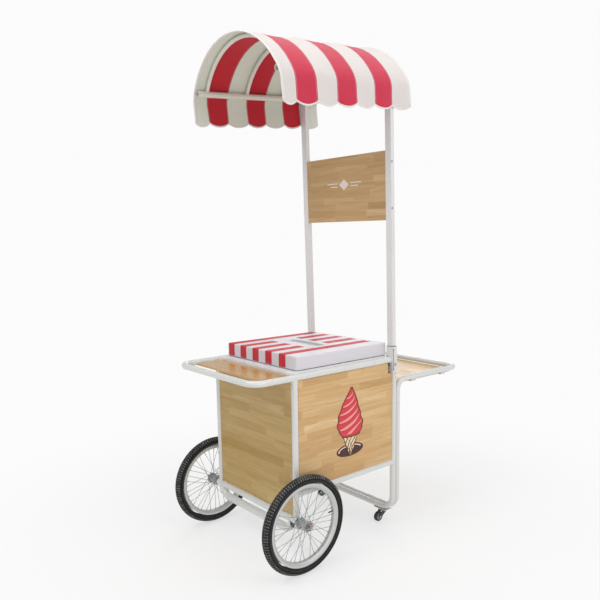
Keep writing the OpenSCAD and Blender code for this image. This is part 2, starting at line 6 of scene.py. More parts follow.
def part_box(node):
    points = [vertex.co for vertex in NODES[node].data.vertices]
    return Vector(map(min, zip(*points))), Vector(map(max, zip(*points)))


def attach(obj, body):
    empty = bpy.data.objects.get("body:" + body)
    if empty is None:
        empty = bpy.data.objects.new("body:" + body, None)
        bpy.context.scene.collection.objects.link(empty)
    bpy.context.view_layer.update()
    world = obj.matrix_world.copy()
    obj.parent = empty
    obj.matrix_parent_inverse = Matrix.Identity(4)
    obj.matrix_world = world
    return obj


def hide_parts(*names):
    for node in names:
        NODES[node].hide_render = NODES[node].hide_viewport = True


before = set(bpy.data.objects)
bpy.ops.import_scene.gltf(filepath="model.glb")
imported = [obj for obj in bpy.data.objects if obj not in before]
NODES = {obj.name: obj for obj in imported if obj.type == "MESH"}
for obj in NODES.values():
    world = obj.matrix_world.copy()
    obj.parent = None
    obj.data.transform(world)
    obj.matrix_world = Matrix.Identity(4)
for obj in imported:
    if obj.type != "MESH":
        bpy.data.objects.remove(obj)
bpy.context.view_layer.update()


scene = bpy.context.scene
scene.view_settings.view_transform = "Standard"


def srgb(r, g, b):
    out = []
    for c in (r, g, b):
        c = c / 255.0
        out.append(c / 12.92 if c <= 0.04045 else ((c + 0.055) / 1.055) ** 2.4)
    return (*out, 1.0)


# ------------------------------------------------------------------ materials
class Mat:
    def __init__(self, name):
        self.m = bpy.data.materials.new(name)
        self.m.use_nodes = True
        self.t = self.m.node_tree
        self.t.nodes.clear()
        self.out = self.n("ShaderNodeOutputMaterial")
        self.b = self.n("ShaderNodeBsdfPrincipled")
        self.t.links.new(self.b.outputs[0], self.out.inputs[0])
        self._obj = None

    def n(self, kind, **kw):
        node = self.t.nodes.new(kind)
        for k, v in kw.items():
            setattr(node, k, v)
        return node

    def put(self, sock, v):
        if isinstance(v, bpy.types.NodeSocket):
            self.t.links.new(v, sock)
        else:
            sock.default_value = v

    def obj(self):
        if self._obj is None:
            self._obj = self.n("ShaderNodeTexCoord").outputs["Object"]
        return self._obj

    def xyz(self, v=None):
        s = self.n("ShaderNodeSeparateXYZ")
        self.put(s.inputs[0], self.obj() if v is None else v)
        return s.outputs[0], s.outputs[1], s.outputs[2]

    def vec(self, x, y, z=0.0):
        c = self.n("ShaderNodeCombineXYZ")
        for i, v in enumerate((x, y, z)):
            self.put(c.inputs[i], v)
        return c.outputs[0]

    def math(self, op, a, b=0.0, c=0.0, clamp=False):
        m = self.n("ShaderNodeMath", operation=op, use_clamp=clamp)
        self.put(m.inputs[0], a)
        self.put(m.inputs[1], b)
        self.put(m.inputs[2], c)
        return m.outputs[0]

    def add(self, a, b): return self.math("ADD", a, b)
    def sub(self, a, b): return self.math("SUBTRACT", a, b)
    def mul(self, a, b): return self.math("MULTIPLY", a, b)

    def step(self, v, a, b, lo=0.0, hi=1.0):
        r = self.n("ShaderNodeMapRange", interpolation_type="SMOOTHSTEP")
        for i, x in enumerate((v, a, b, lo, hi)):
            self.put(r.inputs[i], x)
        return r.outputs[0]

    def white(self, v, dim="2D"):
        w = self.n("ShaderNodeTexWhiteNoise", noise_dimensions=dim)
        if dim == "1D":
            self.put(w.inputs["W"], v)
        else:
            self.put(w.inputs["Vector"], v)
        return w.outputs["Value"]

    def noise(self, scale, detail=3.0, rough=0.5, v=None, dist=0.0):
        t = self.n("ShaderNodeTexNoise")
        self.put(t.inputs["Vector"], self.obj() if v is None else v)
        t.inputs["Scale"].default_value = scale
        t.inputs["Detail"].default_value = detail
        t.inputs["Roughness"].default_value = rough
        t.inputs["Distortion"].default_value = dist
        return t.outputs["Fac"]

    def scaled(self, sx, sy, sz, v=None):
        m = self.n("ShaderNodeVectorMath", operation="MULTIPLY")
        self.put(m.inputs[0], self.obj() if v is None else v)
        m.inputs[1].default_value = (sx, sy, sz)
        return m.outputs[0]

    def ramp(self, f, *stops):
        r = self.n("ShaderNodeValToRGB")
        self.put(r.inputs[0], f)
        e = r.color_ramp.elements
        while len(e) < len(stops):
            e.new(0.5)
        for i, (p, c) in enumerate(stops):
            e[i].position = p
            e[i].color = c
        return r.outputs[0]

    def mix(self, f, a, b, kind="MIX"):
        m = self.n("ShaderNodeMix", data_type="RGBA", blend_type=kind)
        self.put(m.inputs[0], f)
        self.put(m.inputs[6], a)
        self.put(m.inputs[7], b)
        return m.outputs[2]

    def bump(self, h, strength=0.3, dist=0.001, normal=None):
        b = self.n("ShaderNodeBump")
        b.inputs["Strength"].default_value = strength
        b.inputs["Distance"].default_value = dist
        self.put(b.inputs["Height"], h)
        if normal is not None:
            self.put(b.inputs["Normal"], normal)
        return b.outputs[0]

    def attr(self, name):
        a = self.n("ShaderNodeAttribute", attribute_name=name)
        return a.outputs["Fac"]

    def set(self, **kw):
        names = {"color": "Base Color", "rough": "Roughness", "metal": "Metallic", "normal": "Normal",
                 "coat": "Coat Weight", "coat_rough": "Coat Roughness", "sheen": "Sheen Weight",
                 "sheen_rough": "Sheen Roughness", "spec": "Specular IOR Level", "aniso": "Anisotropic",
                 "sub": "Subsurface Weight", "emit": "Emission Color", "emit_s": "Emission Strength"}
        for k, v in kw.items():
            self.put(self.b.inputs[names[k]], v)
        return self.m


def powder(name, tone=(215, 215, 212), dusty=True):
    m = Mat(name)
    base = m.mix(m.noise(7, 4, 0.6), srgb(*tone), srgb(tone[0] - 9, tone[1] - 9, tone[2] - 9))
    if dusty:                                   # road dust near the floor, light grime in patches
        _, _, z = m.xyz()
        low = m.mul(m.step(z, 0.22, 0.04), m.noise(28, 5, 0.7))
        base = m.mix(m.mul(low, 0.35), base, srgb(150, 140, 126))
        rub = m.step(m.noise(38, 6, 0.75), 0.66, 0.78)
        base = m.mix(m.mul(rub, 0.12), base, srgb(165, 160, 152))
    peel = m.noise(950, 2, 0.5)
    return m.set(color=base, rough=m.step(m.noise(60, 3), 0.3, 0.7, 0.26, 0.38), coat=0.25,
                 coat_rough=0.2, normal=m.bump(peel, 0.12, 0.0004))


def wood(name, along, across, strip=0.046, length=0.46, shade=1.0, rough=0.42, coat=0.0, shift=0.0, warm=0.0,
         gold=0.0):
    """Edge-glued strips of finger-jointed staves with grain; along and across are axis numbers."""
    m = Mat(name)
    c = m.xyz()
    a, b = c[along], m.add(c[across], shift)
    d = c[3 - along - across]
    row = m.math("FLOOR", m.math("DIVIDE", b, strip))
    r1 = m.white(row, "1D")
    tri = m.math("PINGPONG", b, 0.0048)          # finger joint teeth
    a2 = m.add(m.add(a, m.mul(r1, 3.1)), m.mul(tri, 1.5))
    cell = m.math("DIVIDE", a2, length)
    col = m.math("FLOOR", cell)
    rnd = m.white(m.vec(row, col), "2D")
    rnd2 = m.white(m.vec(m.add(row, 31.7), m.add(col, 11.3)), "2D")
    k = shade

    def t(r, g, b2):
        r2 = min(255, r * k + warm * 10)
        return srgb(r2, min(255, g * k), max(0, b2 * k - warm * 8 - gold * 12))
    base = m.ramp(rnd, (0.0, t(190, 150, 96)), (0.2, t(206, 168, 115)), (0.5, t(214, 178, 126)),
                  (0.8, t(200, 161, 106)), (1.0, t(222, 190, 142)))
    off = m.mul(rnd2, 7.0)
    gv = m.vec(m.mul(a, 2.2), m.mul(m.add(b, off), 34.0), m.mul(m.add(d, off), 34.0))
    grain = m.noise(1.0, 6, 0.62, gv, 1.1)
    rings = m.n("ShaderNodeTexWave", wave_type="BANDS", bands_direction="Y")
    m.put(rings.inputs["Vector"], m.vec(m.mul(a, 0.55), m.add(m.mul(b, 5.0), off), m.mul(d, 3.0)))
    rings.inputs["Scale"].default_value = 7.0
    rings.inputs["Distortion"].default_value = 5.5
    rings.inputs["Detail"].default_value = 3.0
    rings.inputs["Detail Scale"].default_value = 1.4
    fine = m.noise(1.0, 3, 0.6, m.vec(m.mul(a, 30.0), m.mul(b, 900.0), m.mul(d, 900.0)))
    col1 = m.mix(m.mul(m.step(grain, 0.36, 0.66), 0.42), base, t(172, 126, 76))
    col1 = m.mix(m.mul(rings.outputs["Fac"], 0.20), col1, t(178, 134, 84))
    col1 = m.mix(m.mul(m.step(fine, 0.52, 0.72), 0.22), col1, t(156, 112, 68))
    knot = m.step(m.noise(1.0, 2, 0.5, m.vec(m.mul(a, 5.0), m.mul(b, 11.0), off)), 0.74, 0.80)
    col1 = m.mix(m.mul(knot, 0.35), col1, t(140, 94, 54))
    fb = m.math("FRACT", m.math("DIVIDE", b, strip))
    edge = m.math("MAXIMUM", m.step(fb, 0.016, 0.0), m.step(fb, 0.984, 1.0))
    fa = m.math("FRACT", cell)
    edge2 = m.math("MAXIMUM", m.step(fa, 0.0026, 0.0), m.step(fa, 0.9974, 1.0))
    joint = m.math("MAXIMUM", edge, edge2)
    col1 = m.mix(m.mul(joint, 0.30), col1, t(128, 88, 52))
    h = m.sub(m.add(m.mul(grain, 0.35), m.mul(fine, 0.35)), m.mul(joint, 0.8))
    return m.set(color=col1, rough=m.step(grain, 0.3, 0.7, rough - 0.05, rough + 0.08), coat=coat,
                 coat_rough=0.08, normal=m.bump(h, 0.22, 0.0005))


def gloss(name, tone, rough=0.3, peel=0.05, sub=0.0, marks=True, coat=0.15):
    m = Mat(name)
    base = m.mix(m.noise(5, 3), srgb(*tone), srgb(*[max(0, c - 7) for c in tone]))
    r = m.step(m.noise(24, 4, 0.6), 0.3, 0.7, rough - 0.05, rough + 0.07)
    if marks:                                   # fine handling scratches
        scr = m.noise(1.0, 2, 0.6, m.scaled(420, 9, 420))
        base = m.mix(m.mul(m.step(scr, 0.68, 0.74), 0.10), base, srgb(150, 150, 150))
    return m.set(color=base, rough=r, coat=coat, coat_rough=0.12, sub=sub,
                 normal=m.bump(m.noise(520, 2), peel, 0.0006))


def steel(name, tone, rough=0.3, along=None, spangle=False, metal=1.0):
    m = Mat(name)
    base = srgb(*tone)
    if spangle:
        v = m.n("ShaderNodeTexVoronoi")
        v.inputs["Scale"].default_value = 190
        m.put(v.inputs["Vector"], m.obj())
        base = m.mix(m.mul(v.outputs["Distance"], 0.55), base, srgb(*[int(c * 0.72) for c in tone]))
    base = m.mix(m.mul(m.step(m.noise(40, 5, 0.7), 0.5, 0.75), 0.25), base, srgb(*[int(c * 0.66) for c in tone]))
    sc = [260, 260, 260]
    if along is not None:
        sc[along] = 6
    h = m.noise(1.0, 3, 0.6, m.scaled(*sc))
    return m.set(color=base, metal=metal, rough=m.step(h, 0.3, 0.7, rough - 0.08, rough + 0.1),
                 normal=m.bump(h, 0.12, 0.0003))


def rim_metal(name, node):
    """Brushed round the wheel: marks follow circles about the axle."""
    m = Mat(name)
    lo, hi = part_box(node)
    cx, cz = (lo.x + hi.x) / 2, (lo.z + hi.z) / 2
    x, y, z = m.xyz()
    dx, dz = m.sub(x, cx), m.sub(z, cz)
    r = m.math("SQRT", m.add(m.mul(dx, dx), m.mul(dz, dz)))
    brush = m.noise(1.0, 3, 0.6, m.vec(m.mul(r, 1500.0), m.mul(y, 1500.0), m.mul(m.math("ARCTAN2", dz, dx), 2.0)))
    base = m.mix(m.mul(brush, 0.5), srgb(206, 208, 206), srgb(176, 179, 177))
    wear = m.step(m.noise(70, 5, 0.7), 0.60, 0.72)
    base = m.mix(m.mul(wear, 0.22), base, srgb(120, 118, 114))
    return m.set(color=base, metal=0.6, rough=m.step(brush, 0.3, 0.7, 0.46, 0.6), normal=m.bump(brush, 0.1, 0.0003))


def rubber(name, tone=(28, 28, 29), rough=0.72):
    m = Mat(name)
    base = m.mix(m.noise(46, 5, 0.7), srgb(*tone), srgb(*[c + 13 for c in tone]))
    _, _, z = m.xyz()
    base = m.mix(m.mul(m.step(m.noise(130, 4, 0.7), 0.56, 0.72), 0.25), base, srgb(92, 88, 82))
    return m.set(color=base, rough=m.step(m.noise(90, 3), 0.3, 0.7, rough - 0.1, rough + 0.1), spec=0.35,
                 normal=m.bump(m.noise(1300, 2), 0.25, 0.0004))


def tyre_mat():
    """Black rubber: painted shade darkens the grooves to near black, and the block tops are grey, partly scuffed
    rubber and partly painted highlight.
    """
    m = Mat("tyre_rubber")
    up = m.attr("lift")
    scuff_and_highlight = m.noise(34, 5, 0.7)
    # block tops: grey, partly scuffed rubber and partly painted highlight
    top = m.mix(m.step(scuff_and_highlight, 0.35, 0.7), srgb(80, 80, 79), srgb(134, 133, 131))
    # grooves near black, darker than the rubber itself: painted shade in the recesses
    base = m.mix(m.step(up, 0.35, 0.95), srgb(2, 2, 3), top)
    side = m.mix(m.noise(60, 4, 0.6), srgb(14, 14, 15), srgb(30, 29, 29))
    base = m.mix(m.mul(m.step(up, 0.5, 0.6), m.step(up, 0.95, 0.85)), base, side)
    return m.set(color=base, rough=m.step(scuff_and_highlight, 0.3, 0.7, 0.62, 0.8), spec=0.22,
                 normal=m.bump(m.noise(1300, 2), 0.25, 0.0004))


def canvas(name, tone, inner=False, sheen=0.25):
    """Woven cloth: cu and cs are metres along and round the cover, ce the distance to the next seam."""
    m = Mat(name)
    u, s, e = m.attr("cu"), m.attr("cs"), m.attr("ce")
    wu = m.math("SINE", m.mul(u, 6.2832 / 0.0016))
    ws = m.math("SINE", m.mul(s, 6.2832 / 0.0016))
    weave = m.mul(wu, ws)
    slub = m.noise(1.0, 3, 0.6, m.vec(m.mul(u, 900.0), m.mul(s, 60.0)))
    slub2 = m.noise(1.0, 3, 0.6, m.vec(m.mul(u, 60.0), m.mul(s, 900.0)))
    d = [max(0, int(c * 0.88)) for c in tone]
    base = m.mix(m.mul(m.add(slub, slub2), 0.32), srgb(*tone), srgb(*d))
    base = m.mix(m.mul(m.step(weave, -0.2, 0.9), 0.10), base, srgb(*[min(255, c + 16) for c in tone]))
    wash = m.noise(3.2, 4, 0.6)
    base = m.mix(m.mul(m.step(wash, 0.45, 0.75), 0.12), base, srgb(*d))
    fold = m.mul(m.step(e, 0.0016, 0.0004), 0.45)        # the seam's fold line
    base = m.mix(fold, base, srgb(*[int(c * 0.55) for c in tone]))
    row = m.step(m.math("ABSOLUTE", m.sub(e, 0.0050)), 0.0009, 0.0004)
    dash = m.step(m.math("PINGPONG", s, 0.0032), 0.0006, 0.0012)
    stitch = m.mul(row, dash)
    light = srgb(235, 226, 220) if not inner else srgb(200, 190, 182)
    base = m.mix(m.mul(stitch, 0.8), base, light)
    h = m.add(m.add(m.mul(weave, 0.35), m.mul(slub, 0.2)), m.mul(stitch, 1.4))
    pucker = m.mul(m.step(e, 0.016, 0.0), m.math("SINE", m.mul(s, 6.2832 / 0.021)))
    h = m.add(h, m.mul(pucker, 0.7))
    creases = m.noise(1.0, 3, 0.55, m.vec(m.mul(u, 7.0), m.mul(s, 4.0)), 1.4)
    slack = m.bump(creases, 0.30, 0.012)
    return m.set(color=base, rough=0.86, sheen=sheen, sheen_rough=0.45, spec=0.25,
                 normal=m.bump(h, 0.45, 0.0006, slack))


M = {
    "paint": powder("paint_white"),
    "paint_up": powder("paint_white_upper", (218, 217, 216), False),
    # hoops and roof rails: a darker, warmer copy of the white paint, painted shade for the tubes under the canopy
    "paint_roof_shaded": powder("paint_roof_shaded", (214, 211, 199), False),
    "wood_xz": wood("board_side", 0, 2, warm=-0.2, shade=1.03, strip=0.040, length=0.30),
    "wood_yz": wood("board_end", 1, 2, shade=0.92, rough=0.36, shift=0.013, warm=-0.4, gold=1.5),
    "wood_sign": wood("board_sign", 1, 2, strip=0.036, length=0.26, shade=0.93, shift=0.009, warm=-0.3),
    "wood_xy": wood("board_shelf", 1, 0, strip=0.05, length=0.5, rough=0.42, coat=0.1, shade=0.94, gold=0.8),
    "wood_gloss": wood("board_gloss", 1, 0, strip=0.05, length=0.5, rough=0.26, coat=0.32, warm=0.2, gold=1.1,
                       shade=0.94),
    "deck": gloss("deck_white", (226, 225, 226), 0.34),
    "tub": gloss("tub_plastic", (232, 234, 236), 0.26, 0.04),
    "lid": gloss("lid_plastic", (214, 210, 215), 0.55, 0.08, coat=0.03),
    "grip": gloss("grip_grey", (206, 207, 209), 0.5, 0.2, coat=0.0),
    "film": gloss("film_red", (196, 40, 56), 0.62, 0.04, marks=False, coat=0.0),
    "foam": gloss("foam_cream", (226, 214, 176), 0.85, 0.8, marks=False, coat=0.0),
    "gasket": rubber("gasket_grey", (120, 122, 122), 0.7),
    "nylon": gloss("nylon_black", (26, 26, 27), 0.45, 0.2, marks=False),
    "zinc": steel("zinc_plate", (196, 198, 200), 0.26),
    "axle": steel("turned_steel", (176, 178, 180), 0.3, along=1),
    "spoke": steel("spoke_wire", (172, 176, 173), 0.4, metal=0.75),
    "hub": steel("hub_galvanised", (196, 200, 199), 0.4, spangle=True, metal=0.7),
    "rim_near": rim_metal("rim_near_brushed", "rim_near"),
    "rim_far": rim_metal("rim_far_brushed", "rim_far"),
    "tyre": tyre_mat(),
    "caster_black": powder("caster_paint", (34, 34, 35), False),
    "red": canvas("canvas_red", (198, 48, 74)),
    "cream": canvas("canvas_white", (216, 209, 206)),
    "red_in": canvas("canvas_red_inner", (190, 38, 50), True, 0.1),
    "cream_in": canvas("canvas_white_inner", (216, 219, 205), True, 0.1),
    "tape": canvas("tape_white", (226, 220, 217)),
}


def caster_wheel_mat(name, node):
    """Black tread, grey moulded centre, split by radius about the axle."""
    m = Mat(name)
    lo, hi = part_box(node)
    cx, cz = (lo.x + hi.x) / 2, (lo.z + hi.z) / 2
    x, y, z = m.xyz()
    dx, dz = m.sub(x, cx), m.sub(z, cz)
    r = m.math("SQRT", m.add(m.mul(dx, dx), m.mul(dz, dz)))
    tread = m.step(r, 0.0188, 0.0194)
    grey = m.mix(m.noise(90, 4), srgb(136, 139, 141), srgb(112, 115, 118))
    dark = m.mix(m.noise(160, 4), srgb(30, 30, 31), srgb(52, 50, 48))
    return m.set(color=m.mix(tread, grey, dark), rough=m.mix(tread, (0.4, 0.4, 0.4, 1), (0.75, 0.75, 0.75, 1)),
                 normal=m.bump(m.noise(900, 2), 0.2, 0.0004))


def paint(mat, *names):
    for n in names:
        o = NODES[n]
        o.data.materials.clear()
        o.data.materials.append(mat)


paint(M["paint"], "top_rail", "corner_post_near", "corner_post_far", "side_rail_near", "side_rail_far", "axle_tube",
      "axle_brace", "leg_hoop", "shelf_hoop", "end_rail_caster", "shelf_brackets", "post_socket_near",
      "post_socket_far")
paint(M["paint_up"], "post_near", "post_far")
# the darker copy of the white paint on the hoops and rails is painted shade
paint(M["paint_roof_shaded"], "roof_rail_near", "roof_rail_far", "roof_hoops")
paint(M["wood_xz"], "side_panel_near", "side_panel_far")
paint(M["wood_yz"], "wheel_end_panel", "caster_end_panel")
paint(M["wood_sign"], "sign_board")
paint(M["wood_xy"], "shelf_board_caster_end")
paint(M["wood_gloss"], "shelf_board_wheel_end")
paint(M["deck"], "floor_panel", "counter_deck")
paint(M["tub"], "tub")
paint(M["foam"], "tub_insulation")
paint(M["gasket"], "lid_gasket")
paint(M["nylon"], "socket_liners")
paint(M["zinc"], "clamp_bolts", "frame_screws", "sign_screws", "axle_nuts", "caster_pin_near", "caster_pin_far")
paint(M["axle"], "axle_near", "axle_far", "bearings_near", "bearings_far")
paint(M["paint"], "caster_plate_near", "caster_plate_far")
paint(M["caster_black"], "caster_fork_near", "caster_fork_far")
paint(M["lid"], "lid_shell")
paint(M["film"], "lid_stripes")
paint(M["grip"], "lid_grip")
for s in ("near", "far"):
    paint(M["rim_" + s], "rim_" + s)
    paint(M["spoke"], "spokes_" + s)
    paint(M["hub"], "hub_" + s)
    paint(caster_wheel_mat("caster_roller_" + s, "caster_wheel_" + s), "caster_wheel_" + s)


# -------------------------------------------------------------------- helpers
def link(o):
    scene.collection.objects.link(o)
    return o


def mesh_obj(name, verts, faces, mats, index=None, smooth=True):
    me = bpy.data.meshes.new(name)
    me.from_pydata([tuple(v) for v in verts], [], [tuple(int(i) for i in f) for f in faces])
    for m in mats:
        me.materials.append(m)
    if index is not None:
        me.polygons.foreach_set("material_index", np.asarray(index, np.int32))
    me.polygons.foreach_set("use_smooth", [smooth] * len(me.polygons))
    me.update()
    return link(bpy.data.objects.new(name, me))


def fix_normals(o):
    bm = bmesh.new()
    bm.from_mesh(o.data)
    bmesh.ops.recalc_face_normals(bm, faces=bm.faces)
    bm.to_mesh(o.data)
    bm.free()


def tube(name, pts, r, mat, closed=False, sides=10):
    """A round bead or cord along points, closed at both ends."""
    P = [Vector(p) for p in pts]
    n = len(P)
    verts, faces = [], []
    up = None
    for i in range(n):
        a = P[(i - 1) % n] if closed or i > 0 else P[i]
        b = P[(i + 1) % n] if closed or i < n - 1 else P[i]
        t = (b - a).normalized()
        if up is None:
            up = t.orthogonal().normalized()
        up = (up - t * up.dot(t)).normalized()
        w = t.cross(up)
        rr = r[i] if isinstance(r, (list, tuple)) else r
        for k in range(sides):
            ang = 2 * math.pi * k / sides
            verts.append(P[i] + (up * math.cos(ang) + w * math.sin(ang)) * rr)
    for i in range(n if closed else n - 1):
        j = (i + 1) % n
        for k in range(sides):
            l = (k + 1) % sides
            faces.append((i * sides + k, i * sides + l, j * sides + l, j * sides + k))
    if not closed:
        faces.append(tuple(range(sides))[::-1])
        faces.append(tuple((n - 1) * sides + k for k in range(sides)))
    o = mesh_obj(name, verts, faces, [mat])
    fix_normals(o)
    return o


# --------------------------------------------------------------- the canopy
def co(node):
    return np.array([v.co for v in NODES[node].data.vertices], float)


RAIL_W = 0.030                                  # rail centre line above the foot of the arch


def roof_axes():
    """Origin at the front ends of the two roof rails, on the centre plane, and the roof's own axes."""
    v = co("roof_rail_near")
    c = v.mean(0)
    _, _, vt = np.linalg.svd(v - c, full_matrices=False)
    U = vt[0] if vt[0][0] > 0 else -vt[0]
    U[1] = 0
    U /= np.linalg.norm(U)
    W = np.array([-U[2], 0.0, U[0]])
    t = (v - c) @ U
    O = c + U * (t.min() - 0.008)
    mid = (v - c) @ W
    O = O + W * ((mid.max() + mid.min()) / 2 - RAIL_W)
    O[1] = 0
    return O, U, W


RO, RU, RW = roof_axes()
EDGE = [0.0, 0.081, 0.208, 0.335, 0.462, 0.589, 0.716, 0.854]
HOOP = [EDGE[i] - 0.013 for i in (1, 3, 5, 7)]
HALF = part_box("roof_cover")[1].y
RISE, SKIRT, SCALLOP = 0.25, 0.130, 0.018
ARC_R = (HALF * HALF + RISE * RISE) / (2 * RISE)
ARC_C = RISE - ARC_R
ARC_M = math.asin(HALF / ARC_R)
ARC_L = ARC_R * ARC_M * 2


def R3(u, y, w):
    return RO + RU * u + np.array([0, y, 0]) + RW * w


def foot(u):
    """Depth of the skirt at u: round scallops, one to a stripe."""
    for a, b in zip(EDGE, EDGE[1:]):
        if a <= u <= b + 1e-9:
            w = (b - a) / 2
            r = (w * w + SCALLOP * SCALLOP) / (2 * SCALLOP)
            return -SKIRT + r - math.sqrt(max(0.0, r * r - (u - (a + b) / 2) ** 2))
    return -SKIRT + SCALLOP


def rnd(*p):
    return noise.noise(Vector(p))


def sag(u):
    """0 on a hoop, 1 midway between hoops; the free front edge droops a little."""
    if u < HOOP[0]:
        return 0.35 * (1 - u / HOOP[0]) ** 1.5
    for a, b in zip(HOOP, HOOP[1:]):
        if a <= u <= b:
            return math.sin(math.pi * (u - a) / (b - a)) ** 1.3
    return 0.0


def cover_point(u, s, off):
    """s runs from the near foot to the far foot; off is the distance in from the outer face."""
    L1 = SKIRT
    side = -1.0
    if s <= 0 or s >= 1:
        pass
    total = ARC_L
    if s < 0.0:                                 # near skirt: s in [-1, 0]
        k = -s                                  # 0 at rail, 1 at foot
        depth = k * -foot(u)
        wave = 0.0042 * k ** 1.3 * math.sin(u * 31.0 + 0.6) + 0.0045 * k * rnd(u * 9, 3.1, 0)
        wave += 0.0030 * rnd(u * 22, k * 2.2, 5.0) * math.sin(math.pi * min(1.0, k * 1.3)) ** 0.8
        wave += 0.0022 * k * k * math.cos(2 * math.pi * u / 0.127)
        y = -HALF + off + 0.0004 - wave * 0.8 + 0.002 * k
        return R3(u, y, -depth)
    if s > 1.0:
        k = s - 1
        depth = k * -foot(u)
        wave = 0.0045 * k ** 1.3 * math.sin(u * 27.0 + 2.0) + 0.0045 * k * rnd(u * 9, 8.7, 0)
        wave += 0.0022 * k * k * math.cos(2 * math.pi * u / 0.127)
        y = HALF - off - 0.0004 + wave * 0.8 - 0.002 * k
        return R3(u, y, -depth)
    a = (s - 0.5) * 2 * ARC_M
    hang = math.cos(min(1.0, abs(a) / (0.86 * ARC_M)) * math.pi / 2) ** 0.5     # none where the cloth lies on the rail
    r = ARC_R - off - 0.0075 * sag(u) * hang + 0.0008 * rnd(u * 14, s * 9, 2.0) * hang
    r += 0.0006 * hang * math.sin(s * 110 + 9 * u) * math.exp(-min(abs(u - e) for e in EDGE) / 0.012)
    return R3(u, r * math.sin(a), ARC_C + r * math.cos(a))


arc_point = cover_point
BEND = 0.030


def cover_point(u, s, off):
    """The same cloth with a soft bend, 60 mm long, in place of the corner between arch and skirt."""
    q = None
    if s < 0.5:
        d, at_ = (s * ARC_L if s >= 0 else s * SKIRT), 0.0
    else:
        d, at_ = ((1 - s) * ARC_L if s <= 1 else (1 - s) * SKIRT), 1.0
    if abs(d) >= BEND:
        return arc_point(u, s, off)
    sgn = 1 if at_ == 0 else -1
    a = arc_point(u, at_ - sgn * BEND / SKIRT, off)
    c = arc_point(u, at_, off)
    b = arc_point(u, at_ + sgn * BEND / ARC_L, off)
    t = (d + BEND) / (2 * BEND)
    return a * (1 - t) ** 2 + c * 2 * t * (1 - t) + b * t * t


def build_cover():
    us = []
    for a, b in zip(EDGE, EDGE[1:]):
        n = max(8, int(round((b - a) / 0.0085)))
        us += [a + (b - a) * i / n for i in range(n)]
    us.append(EDGE[-1])
    ns, na = 14, 96
    ss = [-1 + i / ns for i in range(ns)] + [i / na for i in range(na + 1)] + [1 + (i + 1) / ns for i in range(ns)]
    nu, nk = len(us), len(ss)
    verts, cu, cs, ce = [], [], [], []
    for off in (0.0, 0.0018):
        for u in us:
            for s in ss:
                verts.append(cover_point(u, s, off))
                cu.append(u)
                cs.append(s * SKIRT if s < 0 else (s * ARC_L if s <= 1 else ARC_L + (s - 1) * SKIRT))
                ce.append(min(abs(u - e) for e in EDGE[1:-1]))
    N = nu * nk

    def vid(layer, i, k):
        return layer * N + i * nk + k
    faces, idx = [], []
    for i in range(nu - 1):
        um = (us[i] + us[i + 1]) / 2
        band = max(j for j in range(7) if um > EDGE[j])
        red = band % 2 == 1
        for k in range(nk - 1):
            faces.append((vid(0, i, k), vid(0, i, k + 1), vid(0, i + 1, k + 1), vid(0, i + 1, k)))
            idx.append(1 if red else 0)
            faces.append((vid(1, i, k), vid(1, i + 1, k), vid(1, i + 1, k + 1), vid(1, i, k + 1)))
            idx.append(3 if red else 2)
    for i in range(nu - 1):
        for k in (0, nk - 1):
            faces.append((vid(0, i, k), vid(0, i + 1, k), vid(1, i + 1, k), vid(1, i, k)))
            idx.append(0)
    for k in range(nk - 1):
        for i in (0, nu - 1):
            faces.append((vid(0, i, k), vid(0, i, k + 1), vid(1, i, k + 1), vid(1, i, k)))
            idx.append(0)
    o = mesh_obj("canopy_cloth", verts, faces, [M["cream"], M["red"], M["cream_in"], M["red_in"]], idx)
    fix_normals(o)
    for nm, val in (("cu", cu), ("cs", cs), ("ce", ce)):
        at = o.data.attributes.new(nm, "FLOAT", "POINT")
        at.data.foreach_set("value", np.array(val, np.float32))
    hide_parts("roof_cover")
    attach(o, "roof")
    return us, ss


def tape(name, path, width, tdir, proud=0.0011):
    """Folded binding: a flat loop around the cloth's edge. path gives (edge point, inward direction, normal)."""
    verts, faces, cu, cs, ce = [], [], [], [], []
    sec = [(-proud, -0.2), (-proud * 1.25, 0.25), (-proud * 1.2, 0.75), (-proud, 1.0),
           (0.0018 + proud, 1.0), (0.0018 + proud * 1.2, 0.75), (0.0018 + proud * 1.25, 0.25),
           (0.0018 + proud, -0.2), (0.0009, -0.34)]
    run = 0.0
    prev = None
    for p, inn, nor in path:
        if prev is not None:
            run += float(np.linalg.norm(p - prev))
        prev = p
        for h, k in sec:
            d = k * width if k > 0 else k * 0.004
            verts.append(p + inn * d + nor * h)
            cu.append(d)
            cs.append(run)
            ce.append(abs(width * 0.78 - d) + 0.0050 if k > 0 else 0.02)
    n, m = len(path), len(sec)
    for i in range(n - 1):
        for j in range(m):
            l = (j + 1) % m
            faces.append((i * m + j, i * m + l, (i + 1) * m + l, (i + 1) * m + j))
    faces.append(tuple(range(m)))
    faces.append(tuple((n - 1) * m + j for j in range(m))[::-1])
    o = mesh_obj(name, verts, faces, [M["tape"]])
    fix_normals(o)
    for nm, val in (("cu", cu), ("cs", cs), ("ce", ce)):
        at = o.data.attributes.new(nm, "FLOAT", "POINT")
        at.data.foreach_set("value", np.array(val, np.float32))
    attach(o, "roof")
    return o


def inward(u, s):
    """Unit vector from the outer face toward the inside."""
    a, b = cover_point(u, s, 0.0), cover_point(u, s, 0.004)
    d = b - a
    return d / np.linalg.norm(d)


def build_tapes(us, ss):
    for name, u, sgn in (("front", EDGE[0], 1), ("back", EDGE[-1], -1)):
        path = [(cover_point(u, s, 0.0), RU * sgn, inward(u, s)) for s in ss]
        tape("canopy_binding_" + name, path, 0.013, None)
    for name, s, far in (("near", -1.0, False), ("far", 2.0, True)):
        path = []
        for i, u in enumerate(us):
            p = cover_point(u, s, 0.0)
            q = cover_point(u, s * 0.9 if not far else 1.9, 0.0)
            inn = (q - p) / np.linalg.norm(q - p)
            path.append((p, inn, inward(u, s)))
        tape("canopy_hem_" + name, path, 0.007, None, 0.0008)


us, ss = build_cover()
build_tapes(us, ss)


